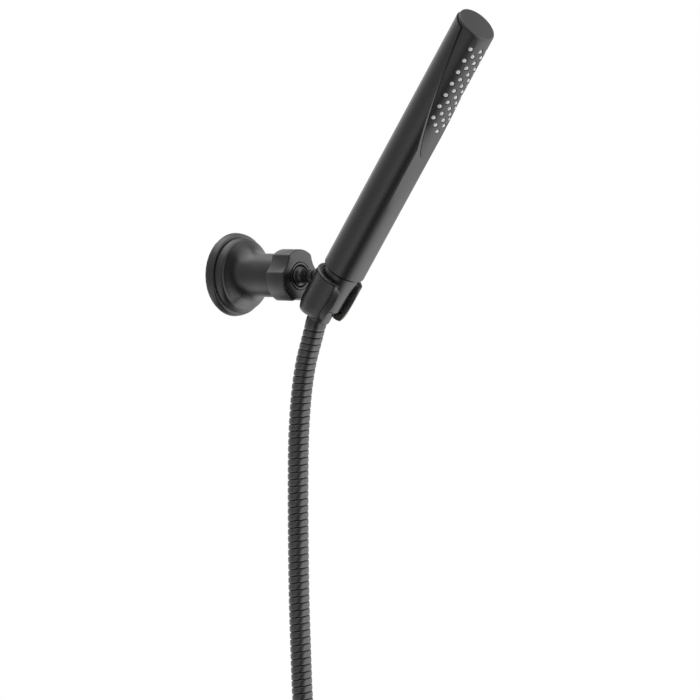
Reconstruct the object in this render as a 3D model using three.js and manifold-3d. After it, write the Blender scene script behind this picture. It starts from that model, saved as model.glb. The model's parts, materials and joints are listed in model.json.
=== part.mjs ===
// Wall-mounted hand shower set: round wall flange, ball-jointed cradle, slim stick handset and metal hose.
// Millimetres. +Z is up, the wall is the plane y = 0, and everything stands out from it towards -Y.
// The origin is the centre of the wall face. "out" means the distance from the wall.
import * as THREE from 'three';
import { mergeVertices } from 'three/addons/utils/BufferGeometryUtils.js';
import Module from 'manifold-3d';

const wasm = await Module();
wasm.setup();

// ---- driving dimensions ----
const GAP = 0.3; // clearance kept between touching pieces
const BIG = 36; // segments round a large turned piece
const MID = 24;
const SMALL = 16;

const FLANGE_R = 29.9; // outer tier of the wall flange
const TIER_R = 26.9; // second tier
const TIER_OUT = 7.2; // where the second tier starts
const NECK_R = 15.5;
const RECESS_R = 23.9; // hollow behind the flange
const PLATE_R = 23.5;
const PLATE_T = 3;
const WALL_SCREW_X = 15;
const WALL_SCREW_R = 2;

const NUT_BACK = 48.8; // three-lobed clamp nut
const NUT_FRONT = 65.2;
const LOBE_R = 18.9;
const SCALLOP_FLOOR = 16.3; // nearest the scallops come to the axis
const SCALLOP_R = 21; // radius of each scallop's own arc
const THREAD_R = 13.5; // threaded end of the bracket inside the clamp nut

const BALL_OUT = 61.2; // ball centre
const BALL_R = 8.2;
const STEM_R = 4.6;
const STEM_END = 74.2; // shoulder where the cradle's boss starts
const SPIGOT_R = 2.6;
const SPIGOT_END = 79.5;

const LEAN = THREE.MathUtils.degToRad(35.67); // handset axis from the vertical, away from the wall
const HANDSET_FOOT = new THREE.Vector3(0, -106.8, 5.6); // on the axis, near the handset tube's lower end
const FACE_TURN = THREE.MathUtils.degToRad(-4); // cradle and handset face a little to the left

const TUBE_R = 15.2;
const TUBE_FOOT = -0.6;
const BORE_R = 13;
const HANDSET_LENGTH = 205.25; // along the axis to the middle of the end cap
const CAP_SLOPE = 0.2; // the end cap is cut aslant: it drops this much per mm towards the front
const CAP_RISE = 2.4; // how far the cap stands above the tube's edge
const FACE_R = 14.1; // outer surface of the spray face, sunk below the tube
const FACE_WALL = 1;
const SEAM_FOOT = 93.6; // height where the spray face's oblique joint starts at the front
const SEAM_SLOPE = 0.1306; // how fast the joint runs back with height

const NOZZLE_PITCH = 9.33;
const NOZZLE_COLUMN_TURN = THREE.MathUtils.degToRad(16.75);
const NOZZLE_TOP = 192.3; // height of the top row
const NOZZLE_ROWS = 7;
const NOZZLE_R = 1.6;
const NOZZLE_HOLE_R = 1.9;

const CRADLE_TOP = -6.4; // heights along the handset's axis
const CRADLE_FOOT = -38.6; // in the middle: the foot slopes
const FOOT_SLOPE = 0.23; // how much the foot rises per mm towards the front
const CRADLE_R = 17.3;
const SLOT_HALF = 8.3; // half the gap that the hose passes through
const CREASE_X = 13.2; // each arm's front face runs out to a straight edge here
const CREASE_FORWARD = 11.2;

const HOSE_NUT_TOP = -1.2;
const HOSE_NUT_FOOT = -31.3;
const FERRULE_R = 8.5;
const FERRULE_FOOT = -42.4;
const HOSE_EXIT = -44.9; // the hose swings about this point on the handset's axis

const HOSE_R = 7.25;
const HOSE_SIDES = 10;
const COIL_R = 80; // middle of the coil's turns
const COIL_CENTRE_Z = -446;
const COIL_BACK_Y = -61.2;
const COIL_FRONT_Y = -108.2;
const CONNECTOR_TOP = COIL_CENTRE_Z - 57;

// ---- materials ----
const finish = (color, roughness, metalness) => () =>
  new THREE.MeshStandardMaterial({ color, roughness, metalness });
const blackCoat = finish(0x2b2b2b, 0.42, 0.35);
const blackHose = finish(0x303030, 0.38, 0.5);
const blackPlastic = finish(0x1d1d1d, 0.55, 0);
const whitePlastic = finish(0xe6e4df, 0.5, 0);
const silicone = finish(0xe8e6e2, 0.6, 0);
const rubber = finish(0x151515, 0.85, 0);
const steel = finish(0xb4b4b2, 0.35, 0.9);
const brass = finish(0xb08d4a, 0.35, 0.9);

// ---- geometry helpers ----
function volume(geometry) {
  const p = geometry.attributes.position;
  const i = geometry.index;
  const [a, b, c] = [new THREE.Vector3(), new THREE.Vector3(), new THREE.Vector3()];
  let sum = 0;
  for (let t = 0; t < i.count; t += 3) {
    a.fromBufferAttribute(p, i.getX(t));
    b.fromBufferAttribute(p, i.getX(t + 1));
    c.fromBufferAttribute(p, i.getX(t + 2));
    sum += a.dot(b.cross(c)) / 6;
  }
  return sum;
}

// A closed body with shared vertices and its faces pointing out.
function closed(source) {
  const bare = source.clone();
  bare.deleteAttribute('normal');
  bare.deleteAttribute('uv');
  const merged = mergeVertices(bare, 1e-3);
  const index = merged.index.array;
  const kept = [];
  for (let t = 0; t < index.length; t += 3) {
    const [a, b, c] = [index[t], index[t + 1], index[t + 2]];
    if (a !== b && b !== c && c !== a) kept.push(a, b, c);
  }
  merged.setIndex(kept);
  if (volume(merged) < 0) {
    merged.setIndex(kept.map((_, k) => kept[k - (k % 3) + (2 - (k % 3))]));
  }
  return merged;
}

function toManifold(geometry) {
  const g = closed(geometry);
  return new wasm.Manifold(new wasm.Mesh({
    numProp: 3,
    vertProperties: new Float32Array(g.attributes.position.array),
    triVerts: new Uint32Array(g.index.array),
  }));
}

function fromManifold(manifold) {
  const m = manifold.getMesh();
  const g = new THREE.BufferGeometry();
  g.setAttribute('position', new THREE.BufferAttribute(new Float32Array(m.vertProperties), 3));
  g.setIndex(new THREE.BufferAttribute(new Uint32Array(m.triVerts), 1));
  return g;
}

const cut = (body, ...tools) =>
  fromManifold(tools.reduce((m, t) => m.subtract(toManifold(t)), toManifold(body)));
const join = (body, ...more) =>
  fromManifold(more.reduce((m, t) => m.add(toManifold(t)), toManifold(body)));
const common = (body, tool) => fromManifold(toManifold(body).intersect(toManifold(tool)));

// Turned about the local Y axis. The profile is [radius, height] points, and closes on itself.
function turned(profile, segments = MID) {
  const points = profile.map(([r, h]) => new THREE.Vector2(r, h));
  const onAxis = profile[0][0] === 0 && profile[profile.length - 1][0] === 0;
  if (!onAxis) points.push(points[0].clone());
  return closed(new THREE.LatheGeometry(points, segments));
}

// Turned about the bracket's axis: the profile's heights are distances out from the wall.
const turnedOut = (profile, segments) => turned(profile, segments).rotateX(Math.PI);

function block(x0, x1, y0, y1, z0, z1) {
  const g = new THREE.BoxGeometry(x1 - x0, y1 - y0, z1 - z0);
  return g.translate((x0 + x1) / 2, (y0 + y1) / 2, (z0 + z1) / 2);
}

const cylinderY = (r, y0, y1, segments = SMALL) =>
  new THREE.CylinderGeometry(r, r, y1 - y0, segments).translate(0, (y0 + y1) / 2, 0);
const cylinderOut = (r, out0, out1, segments = SMALL) => cylinderY(r, -out1, -out0, segments);

// Points [radius, height] on an arc about (0, height), between two angles measured from straight down.
function arcProfile(radius, height, from, to, steps) {
  return Array.from({ length: steps + 1 }, (_, k) => {
    const t = THREE.MathUtils.degToRad(from + ((to - from) * k) / steps);
    return [radius * Math.sin(t), height - radius * Math.cos(t)];
  });
}

function ringProfile(middle, height, section, steps) {
  return Array.from({ length: steps }, (_, k) => {
    const t = (k / steps) * 2 * Math.PI;
    return [middle + section * Math.cos(t), height + section * Math.sin(t)];
  });
}

// A ball whose equator has the hose's own sides.
function ball(radius) {
  const profile = arcProfile(radius, 0, 0, 180, 6);
  profile[0][0] = 0;
  profile[6][0] = 0;
  return turned(profile, HOSE_SIDES * 2);
}

// A round tube of solid section along a smooth curve.
function hoseTube(points, steps) {
  const section = new THREE.Shape();
  for (let k = 0; k < HOSE_SIDES; k += 1) {
    const t = (k / HOSE_SIDES) * 2 * Math.PI;
    const [x, y] = [HOSE_R * Math.cos(t), HOSE_R * Math.sin(t)];
    if (k === 0) section.moveTo(x, y);
    else section.lineTo(x, y);
  }
  const path = new THREE.CatmullRomCurve3(points, false, 'centripetal');
  return new THREE.ExtrudeGeometry(section, { steps, bevelEnabled: false, extrudePath: path });
}

// ---- frames ----
const part = new THREE.Group();
const tilted = new THREE.Group(); // local Y runs up the handset's axis, local Z to its front
tilted.position.copy(HANDSET_FOOT);
tilted.rotation.x = Math.PI / 2 + LEAN;
part.add(tilted);
const facing = new THREE.Group();
facing.rotation.y = FACE_TURN;
tilted.add(facing);
part.updateMatrixWorld(true);
const toFacing = facing.matrixWorld.clone().invert();

function add(group, name, geometry, material) {
  const mesh = new THREE.Mesh(geometry, material());
  mesh.name = name;
  group.add(mesh);
  return mesh;
}

// ---- wall bracket ----
function wallPlate() {
  const cup = turnedOut([
    [0, 0], [PLATE_R, 0], [PLATE_R, 6.2], [PLATE_R - 2.5, 6.2], [PLATE_R - 2.5, PLATE_T], [0, PLATE_T],
  ], BIG);
  const hole = cylinderOut(WALL_SCREW_R + GAP, -1, PLATE_T + 1);
  return cut(cup, hole.clone().translate(WALL_SCREW_X, 0, 0), hole.clone().translate(-WALL_SCREW_X, 0, 0));
}

function wallScrew(x) {
  const head = 3.9;
  return turnedOut([
    [0, 0.2], [WALL_SCREW_R, 0.2], [WALL_SCREW_R, PLATE_T + GAP], [head, PLATE_T + GAP],
    [head, PLATE_T + 1.4], [head - 1.6, PLATE_T + 2.5], [0, PLATE_T + 2.5],
  ], SMALL).translate(x, 0, 0);
}

const gasket = () => turnedOut([[24.6, 0], [28.8, 0], [28.8, 1], [24.6, 1]], BIG);

function bracketBody() {
  const flange = [
    [RECESS_R, 7], [RECESS_R, 1.3], [FLANGE_R - 0.6, 1.3], [FLANGE_R, 1.9], [FLANGE_R - 0.3, 4],
    [FLANGE_R - 0.9, 6.5], [FLANGE_R - 1.6, TIER_OUT], [TIER_R, TIER_OUT],
  ];
  const bell = [
    [TIER_R - 0.3, 9.6], [TIER_R - 1, 11.8], [TIER_R - 1.9, 13.1], [24.4, 13.4], [22.9, 14.7],
    [21, 16.3], [18.9, 18.4], [17.3, 20.8], [16.1, 23.6], [NECK_R, 26.6],
  ];
  const socket = [
    [NECK_R, NUT_BACK - GAP], [THREAD_R, NUT_BACK - GAP], [THREAD_R, 60.9], [11.3, 60.9], [11.3, 50], [0, 50],
  ];
  const body = turnedOut([[0, 40], [9, 40], [9, 7], ...flange, ...bell, ...socket], BIG);
  const screwHole = cylinderY(1.8, -32, -22).rotateX(Math.PI / 2).translate(0, -4.6, 0);
  return cut(body, screwHole);
}

// Grub screw through the flange's underside, bearing on the wall plate's rim.
const setScrew = () => cylinderY(1.5, -28.7, -23.8, 12).rotateX(Math.PI / 2).translate(0, -4.6, 0);

// ---- clamp nut and ball joint ----
function lobedOutline() {
  const away = SCALLOP_FLOOR + SCALLOP_R;
  const half = Math.acos((LOBE_R ** 2 + away ** 2 - SCALLOP_R ** 2) / (2 * LOBE_R * away));
  const outline = new THREE.Shape();
  for (let k = 0; k < 3; k += 1) {
    const middle = THREE.MathUtils.degToRad(30 + 120 * k);
    const centre = [away * Math.cos(middle), away * Math.sin(middle)];
    const seenFrom = (angle) =>
      Math.atan2(LOBE_R * Math.sin(angle) - centre[1], LOBE_R * Math.cos(angle) - centre[0]);
    outline.absarc(...centre, SCALLOP_R, seenFrom(middle - half), seenFrom(middle + half), true);
    outline.absarc(0, 0, LOBE_R, middle + half, middle + (2 * Math.PI) / 3 - half, false);
  }
  return outline;
}

function clampNut() {
  const bevel = 0.6;
  const solid = new THREE.ExtrudeGeometry(lobedOutline(), {
    depth: NUT_FRONT - NUT_BACK - 2 * bevel,
    bevelThickness: bevel,
    bevelSize: bevel,
    bevelOffset: -bevel,
    bevelSegments: 1,
    curveSegments: 8,
  }).rotateX(Math.PI / 2).translate(0, -NUT_BACK - bevel, 0);
  const hollow = turnedOut([
    [0, NUT_BACK - 1], [THREAD_R + GAP, NUT_BACK - 1], [THREAD_R + GAP, 62.9], [9.9, 62.9],
    [9.9, NUT_FRONT + 1], [0, NUT_FRONT + 1],
  ]);
  return cut(solid, hollow);
}

const socketRadius = (r, out) => Math.sqrt(r ** 2 - (out - BALL_OUT) ** 2);

// Ring held by the nut's front wall: its round lip is what shows about the ball.
function frontSeat() {
  const inner = [65, 63.8, 62.6, 61.4].map((out) => [socketRadius(BALL_R + GAP, out), out]);
  return turnedOut([[12.9, 61.4], [12.9, 62.6], [9.6, 62.6], [9.6, 65.5], [8, 65.5], ...inner]);
}

function rearSeat() {
  const inner = [60.6, 59, 57, 55, 53.2].map((out) => [socketRadius(9.6, out), out]);
  return turnedOut([[11, 53.2], [11, 60.6], ...inner]);
}

const seatRing = () => turnedOut(ringProfile(8.6, 51.6, 1.3, 8), MID);

// Nylon cup about the back of the ball.
function ballLiner() {
  const outer = arcProfile(BALL_R + 1.1, BALL_OUT, 25, 70, 4);
  const inner = arcProfile(BALL_R + GAP, BALL_OUT, 70, 25, 4);
  return turnedOut([...outer, ...inner]);
}

function ballStem() {
  const ball = arcProfile(BALL_R, BALL_OUT, 0, 129, 11);
  return turnedOut([
    ...ball, [5.5, 67.4], [4.9, 68.7], [STEM_R, 70.4], [STEM_R, STEM_END], [SPIGOT_R, STEM_END],
    [SPIGOT_R, SPIGOT_END], [1.7, SPIGOT_END], [1.7, 72], [0, 72],
  ], MID);
}

// Screw from inside the cradle into the stem's spigot: the cradle turns on the spigot between them.
const cradleScrew = () => turnedOut([
  [0, 73], [1.4, 73], [1.4, SPIGOT_END + 0.7], [3.4, SPIGOT_END + 0.7], [3.4, SPIGOT_END + 2.3], [0, SPIGOT_END + 2.3],
], SMALL);

// ---- cradle ----
// Rounded foot of the cradle's outside, before it slopes.
const FOOT_PROFILE = [[12.6, CRADLE_FOOT], [14.4, -38], [15.7, -36.6], [16.6, -34.4], [CRADLE_R, -30]];

// Everything behind the arms' front faces. The outline is their inner edge seen from the side, as
// [height, how far forward]; each face is ruled from there out to the straight edge.
function behindArmFaces() {
  const edge = [
    [-45, 9.6], [-36.8, 12.1], [-33, 12.9], [-28.7, 13.7], [-25, 14.2], [-21, 14.6], [-16, 14.6],
    [-12, 14.2], [-10.2, 13.3], [-8.8, 11.8], [-7.6, 10], [-6.2, 7.6],
  ];
  const outline = [...edge, [0, 6], [0, -30], [-45, -30]];
  const shape = new THREE.Shape(outline.map(([h, f]) => new THREE.Vector2(f, h)));
  const body = new THREE.ExtrudeGeometry(shape, { depth: 60, steps: 2, bevelEnabled: false });
  body.rotateY(-Math.PI / 2).translate(30, 0, 0);
  const p = body.attributes.position;
  for (let i = 0; i < p.count; i += 1) {
    const forward = p.getZ(i);
    const share = (Math.abs(p.getX(i)) - SLOT_HALF) / (CREASE_X - SLOT_HALF);
    if (forward > 5) p.setZ(i, forward + (CREASE_FORWARD - forward) * share);
  }
  return body;
}

// The cradle's outer solid, with its foot sloping up towards the front.
function cradleBlank() {
  const inside = [
    [CRADLE_R, -7.8], [16.6, -7.4], [15.4, CRADLE_TOP], [14.3, CRADLE_TOP], [14.15, -7.4], [13.15, -31],
    [9.6, -36], [9.6, CRADLE_FOOT],
  ];
  const blank = turned([...FOOT_PROFILE, ...inside], BIG);
  const p = blank.attributes.position;
  for (let i = 0; i < p.count; i += 1) {
    const isInside = Math.hypot(p.getX(i), p.getZ(i)) < 13.2 && p.getY(i) > CRADLE_FOOT + 0.1;
    const share = isInside ? 0 : THREE.MathUtils.clamp((-28 - p.getY(i)) / 10.6, 0, 1);
    p.setY(i, p.getY(i) + FOOT_SLOPE * share * p.getZ(i));
  }
  return blank;
}

function cradle() {
  const boss = cylinderOut(STEM_R, STEM_END + GAP, 86).applyMatrix4(toFacing);
  const spigotHole = cylinderOut(SPIGOT_R + GAP, STEM_END - 1, 90).applyMatrix4(toFacing);
  const screwRecess = cylinderOut(3.7, SPIGOT_END + 0.4, 92).applyMatrix4(toFacing);
  const slot = block(-SLOT_HALF, SLOT_HALF, CRADLE_FOOT - 8, 5, 0, 30);
  const core = turned([
    [0, CRADLE_FOOT - 8], [9.6, CRADLE_FOOT - 8], [9.6, -36], [13.15, -31], [14.15, -7.4], [0, -7.4],
  ], BIG);
  const bossOutside = cut(boss, core);
  return cut(join(common(cradleBlank(), behindArmFaces()), bossOutside), slot, spigotHole, screwRecess);
}

function cradleLiner() {
  const sleeve = turned([[11.95, -30.9], [12.85, -30.9], [13.85, -7.4], [12.97, -7.4]], BIG);
  const slot = block(-SLOT_HALF - 0.6, SLOT_HALF + 0.6, CRADLE_FOOT, 5, 0, 30);
  return cut(sleeve, slot);
}

// ---- handset ----
// Everything in front of the spray face's oblique joint, or above the tube's slanting edge.
function aheadOfSeam(offset) {
  const atFoot = 60;
  const rise = HANDSET_LENGTH + 60;
  const seam = (h) => TUBE_R - SEAM_SLOPE * (h - SEAM_FOOT) + offset;
  const side = new THREE.Shape([
    new THREE.Vector2(seam(atFoot), atFoot), new THREE.Vector2(60, atFoot),
    new THREE.Vector2(60, rise), new THREE.Vector2(seam(rise), rise),
  ]);
  return sideways(side);
}

// A side outline drawn as (forward, height), extruded across the handset.
function sideways(outline) {
  return new THREE.ExtrudeGeometry(outline, { depth: 60, bevelEnabled: false })
    .rotateY(-Math.PI / 2).translate(30, 0, 0);
}

function aboveSlant(height) {
  const reach = 40;
  const top = height + 80;
  return sideways(new THREE.Shape([
    new THREE.Vector2(-reach, height + CAP_SLOPE * reach), new THREE.Vector2(reach, height - CAP_SLOPE * reach),
    new THREE.Vector2(reach, top), new THREE.Vector2(-reach, top),
  ]));
}

function handleShell() {
  const tube = turned([
    [BORE_R, TUBE_FOOT + 0.4], [TUBE_R - 0.5, TUBE_FOOT], [TUBE_R, TUBE_FOOT + 0.5], [TUBE_R, 215], [BORE_R, 215],
  ], BIG);
  return cut(tube, aheadOfSeam(0), aboveSlant(HANDSET_LENGTH - CAP_RISE));
}

function nozzleSpots() {
  const spots = [];
  for (let column = -2; column <= 2; column += 1) {
    const staggered = column % 2 !== 0;
    const rows = column === 0 ? NOZZLE_ROWS + 1 : NOZZLE_ROWS;
    for (let row = 0; row < rows; row += 1) {
      const height = NOZZLE_TOP - NOZZLE_PITCH * (row + (staggered ? 0.5 : 0));
      spots.push({ turn: column * NOZZLE_COLUMN_TURN, height });
    }
  }
  return spots;
}

const radialPin = (r, from, to, spot, sides) =>
  cylinderY(r, from, to, sides).rotateX(Math.PI / 2).rotateY(spot.turn).translate(0, spot.height, 0);

function sprayFace() {
  const inside = FACE_R - FACE_WALL;
  const shell = turned([
    [inside, 95], [FACE_R, 95], [FACE_R, 220], [0, 220], [0, HANDSET_LENGTH + 4], [inside, HANDSET_LENGTH + 4],
  ], BIG);
  const capDisc = cut(
    common(cylinderY(FACE_R, 190, 220, BIG), aboveSlant(HANDSET_LENGTH - CAP_RISE + GAP)),
    aboveSlant(HANDSET_LENGTH),
  );
  const front = cut(common(shell, aheadOfSeam(GAP)), aboveSlant(HANDSET_LENGTH - 1));
  const holes = nozzleSpots().map((spot) => radialPin(NOZZLE_HOLE_R, 8, 20, spot, 8));
  return cut(join(capDisc, front), ...holes);
}

function nozzleMat() {
  const outside = FACE_R - FACE_WALL - GAP;
  const sleeve = turned([[outside - 1, 120], [outside, 120], [outside, 198], [outside - 1, 198]], BIG);
  const halfWidth = 7.9;
  const sheet = common(sleeve, block(-halfWidth, halfWidth, 100, 210, 0, 30));
  return join(sheet, ...nozzleSpots().map((spot) => radialPin(NOZZLE_R, outside - 0.5, FACE_R + 0.5, spot, 8)));
}

// Half-round trough behind the nozzle mat that spreads the water, with its inlet at the lower end.
function sprayManifold() {
  const outer = turned([[0, 116], [10.6, 116], [10.6, 200], [0, 200]], MID);
  const inner = turned([[0, 118.5], [9.2, 118.5], [9.2, 197.5], [0, 197.5]], MID);
  const front = block(-20, 20, 100, 210, 4.5, 30);
  const inlet = cylinderY(3.4, 100, 122).translate(0, 0, -2);
  return cut(outer, inner, front, inlet);
}

const waterTube = () => turned([[3.3, 22], [4.6, 22], [4.6, 115.7], [3.3, 115.7]], SMALL).translate(0, 0, -2);

// Brass inlet pressed into the tube's lower end: its male thread screws into the conical nut.
function inletAdaptor() {
  const body = turned([
    [6, -12.5], [10.2, -12.5], [10.2, 2], [BORE_R - GAP, 2], [BORE_R - GAP, 9], [11, 9.4], [11, 12.6],
    [BORE_R - GAP, 13], [BORE_R - GAP, 21.7], [0, 21.7], [0, 17], [6, 17],
  ], MID);
  return cut(body, cylinderY(2.9, 15, 25).translate(0, 0, -2));
}

const inletRing = () => turned([[11.3, 9.9], [12.8, 9.9], [12.8, 12.1], [11.3, 12.1]], MID);

// One-way valve in the inlet's bore: cage below, poppet that lifts with the flow above it.
const valveCage = () => turned([
  [2.4, -11.5], [5.7, -11.5], [5.7, -1], [4.6, -1], [4.6, -9.5], [2.4, -9.5],
], SMALL);
const valvePoppet = () => turned([
  [0, -10.6], [2, -10.6], [2, -9.2], [3.9, -9.2], [3.9, -7.6], [1.1, -6.4], [1.1, 0], [0, 0],
], SMALL);
const flowRegulator = () => turned([[1.4, 9.5], [5.7, 9.5], [5.7, 12.5], [1.4, 12.5]], SMALL);

// ---- hose end ----
const hoseNut = () => turned([
  [10.5, HOSE_NUT_TOP], [12.9, HOSE_NUT_TOP], [11.68, -29.6], [11.3, -30.8], [10.5, HOSE_NUT_FOOT],
  [8.9, HOSE_NUT_FOOT], [8.9, -18], [10.5, -18],
], BIG);
const nutWasher = () => turned([[5.6, -15.2], [10.1, -15.2], [10.1, -12.8], [5.6, -12.8]], MID);
const filterScreen = () => turned([[0, -15.1], [5.2, -15.1], [5.2, -14.3], [0, -14.3]], SMALL);
function hoseFerrule() {
  const collar = turned([
    [4, -15.5], [10.1, -15.5], [10.1, -17.7], [FERRULE_R, -17.7], [FERRULE_R, -42.5], [8, FERRULE_FOOT],
    [4, FERRULE_FOOT],
  ], MID);
  return cut(collar, ball(HOSE_R + GAP).translate(0, HOSE_EXIT, 0));
}

// ---- hose route ----
// Points of the hose's centreline, (y, z), from the ferrule down to where it starts to swing left.
const DROP = [
  [-80.62, -30.88], [-79.2, -35], [-78.1, -38.2], [-75.8, -45], [-73.3, -52], [-71.0, -59], [-69.0, -67],
  [-67.3, -75.5], [-65.4, -89], [-63.9, -106], [-63.1, -123], [-62.8, -158], [-63.1, -195], [-63.8, -230],
  [-65.1, -262], [-66.4, -290], [-67.4, COIL_CENTRE_Z + COIL_R * Math.sqrt(3)],
];
const SPLIT = 7; // the hose also swings about this point, where its upper length ends

const dropPoint = ([y, z]) => new THREE.Vector3(0, y, z);

// Below the drop the hose swings left on an arc of the coil's own radius, until it lies on the coil.
function swing(degrees) {
  const t = THREE.MathUtils.degToRad(degrees);
  const z = COIL_CENTRE_Z + COIL_R * (Math.sqrt(3) - Math.sin(t));
  return new THREE.Vector3(COIL_R * (Math.cos(t) - 1), -67.4 - degrees / 60, z);
}

const ballAt = (radius, at) => ball(radius).translate(0, ...DROP[at]);

// Each length of the hose that swings has a ball at its upper end, and the piece above is hollowed for it.
function hoseTop() {
  const tube = hoseTube(DROP.slice(0, SPLIT + 1).map(dropPoint), 8);
  return cut(join(tube, ballAt(HOSE_R, 0)), ballAt(HOSE_R + GAP, SPLIT));
}

function hoseDrop() {
  const points = DROP.slice(SPLIT).map(dropPoint);
  const tube = hoseTube([...points, swing(11), swing(22), swing(32.5)], 20);
  return join(tube, ballAt(HOSE_R, SPLIT));
}

function hoseCoil() {
  const corner = 3;
  const [inner, outer] = [COIL_R - HOSE_R, COIL_R + HOSE_R];
  const [back, front] = [COIL_BACK_Y, COIL_FRONT_Y];
  return turned([
    [inner + corner, front], [outer - corner, front], [outer, front + corner], [outer, back - corner],
    [outer - corner, back], [inner + corner, back], [inner, back - corner], [inner, front + corner],
  ], BIG).translate(0, 0, COIL_CENTRE_Z);
}

// Strap about the turns at the top of the coil.
function coilTie() {
  const [clear, wall, width] = [0.7, 1.6, 16];
  const middleY = (COIL_BACK_Y + COIL_FRONT_Y) / 2;
  const halfY = (COIL_BACK_Y - COIL_FRONT_Y) / 2 + clear;
  const halfZ = HOSE_R + clear;
  const outer = block(-width / 2, width / 2, -halfY - wall, halfY + wall, -halfZ - wall, halfZ + wall);
  const inner = block(-width, width, -halfY, halfY, -halfZ, halfZ);
  return cut(outer, inner).translate(0, middleY, COIL_CENTRE_Z + COIL_R);
}

const TAIL = new THREE.Vector3(-COIL_R, -100.8, 0);

function hoseTail() {
  const from = new THREE.Vector3(TAIL.x, TAIL.y, COIL_CENTRE_Z - 49.5);
  const to = new THREE.Vector3(TAIL.x, TAIL.y, CONNECTOR_TOP + GAP);
  return hoseTube([from, from.clone().lerp(to, 0.5), to], 2);
}

// Fittings on the hose's free end, turned about the vertical: heights are measured down from its end.
const onTail = (geometry) => geometry.rotateX(Math.PI / 2).translate(TAIL.x, TAIL.y, CONNECTOR_TOP);

const connectorFerrule = () => onTail(turned([
  [4, -24], [10, -24], [10, -22], [8.2, -22], [8.2, -2], [7.6, 0], [4, 0],
], MID));

function connectorNut() {
  const hexagon = new THREE.CylinderGeometry(13.2, 13.2, 14, 6).translate(0, -25, 0);
  const collar = cylinderY(11.4, -18.2, -12, MID);
  const hollow = turned([
    [0, -40], [10.5, -40], [10.5, -21.7], [8.5, -21.7], [8.5, -5], [0, -5],
  ], MID);
  return onTail(cut(join(hexagon, collar), hollow));
}

const connectorWasher = () => onTail(turned([
  [5.6, -26.8], [10.1, -26.8], [10.1, -24.4], [5.6, -24.4],
], MID));

// ---- assembly ----
add(part, 'wall_plate', wallPlate(), steel);
add(part, 'wall_screw_left', wallScrew(-WALL_SCREW_X), steel);
add(part, 'wall_screw_right', wallScrew(WALL_SCREW_X), steel);
add(part, 'wall_gasket', gasket(), rubber);
add(part, 'bracket_body', bracketBody(), blackCoat);
add(part, 'set_screw', setScrew(), steel);
add(part, 'clamp_nut', clampNut(), blackCoat);
add(part, 'front_ball_seat', frontSeat(), blackCoat);
add(part, 'rear_ball_seat', rearSeat(), whitePlastic);
add(part, 'seat_ring', seatRing(), rubber);
add(part, 'ball_liner', ballLiner(), whitePlastic);
add(part, 'ball_stem', ballStem(), blackCoat);
add(part, 'cradle_screw', cradleScrew(), steel);

add(facing, 'cradle', cradle(), blackCoat);
add(facing, 'cradle_liner', cradleLiner(), blackPlastic);
add(facing, 'handle_shell', handleShell(), blackCoat);
add(facing, 'spray_face', sprayFace(), blackPlastic);
add(facing, 'nozzle_mat', nozzleMat(), silicone);
add(facing, 'spray_manifold', sprayManifold(), whitePlastic);
add(facing, 'water_tube', waterTube(), whitePlastic);
add(facing, 'inlet_adaptor', inletAdaptor(), brass);
add(facing, 'inlet_ring', inletRing(), rubber);
add(facing, 'valve_cage', valveCage(), whitePlastic);
add(facing, 'valve_poppet', valvePoppet(), whitePlastic);
add(facing, 'flow_regulator', flowRegulator(), blackPlastic);
add(facing, 'hose_nut', hoseNut(), blackCoat);
add(facing, 'nut_washer', nutWasher(), rubber);
add(facing, 'filter_screen', filterScreen(), steel);
add(facing, 'hose_ferrule', hoseFerrule(), blackCoat);

add(part, 'hose_top', hoseTop(), blackHose);
add(part, 'hose_drop', hoseDrop(), blackHose);
add(part, 'hose_coil', hoseCoil(), blackHose);
add(part, 'coil_tie', coilTie(), rubber);
add(part, 'hose_tail', hoseTail(), blackHose);
add(part, 'connector_ferrule', connectorFerrule(), blackCoat);
add(part, 'connector_nut', connectorNut(), blackCoat);
add(part, 'connector_washer', connectorWasher(), rubber);

export default part;
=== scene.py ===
import json
import math

import bmesh
import bpy
from mathutils import Matrix, Vector


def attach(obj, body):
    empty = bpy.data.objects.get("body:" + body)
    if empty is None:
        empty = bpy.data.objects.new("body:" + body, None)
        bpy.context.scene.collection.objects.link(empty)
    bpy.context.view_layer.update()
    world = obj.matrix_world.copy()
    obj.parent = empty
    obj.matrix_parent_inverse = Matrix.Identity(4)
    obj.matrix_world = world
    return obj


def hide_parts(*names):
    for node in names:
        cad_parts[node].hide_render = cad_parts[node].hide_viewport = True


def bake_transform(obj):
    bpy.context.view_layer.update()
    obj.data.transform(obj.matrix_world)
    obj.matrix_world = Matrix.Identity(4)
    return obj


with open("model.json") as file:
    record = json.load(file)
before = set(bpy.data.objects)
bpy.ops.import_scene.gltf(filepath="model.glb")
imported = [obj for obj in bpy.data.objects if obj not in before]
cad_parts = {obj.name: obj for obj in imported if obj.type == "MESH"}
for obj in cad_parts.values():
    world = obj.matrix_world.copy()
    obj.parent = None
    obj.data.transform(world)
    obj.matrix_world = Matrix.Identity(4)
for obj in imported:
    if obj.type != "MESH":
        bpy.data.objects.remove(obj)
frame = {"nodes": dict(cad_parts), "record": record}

MM = 0.001
scene = bpy.context.scene
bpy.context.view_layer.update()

# ---- camera ----
LENS = 193.8
DISTANCE = 2.7
AIM_RIGHT = 0.0837
AIM_DOWN = 0.0541
AZIMUTH = math.radians(-48.4)
ELEVATION = math.radians(2.6)
RIGHT = Vector((math.cos(AZIMUTH), math.sin(AZIMUTH), 0))
TOWARDS = Vector((
    math.sin(AZIMUTH) * math.cos(ELEVATION),
    -math.cos(AZIMUTH) * math.cos(ELEVATION),
    math.sin(ELEVATION),
))
UP = TOWARDS.cross(RIGHT)


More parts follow.
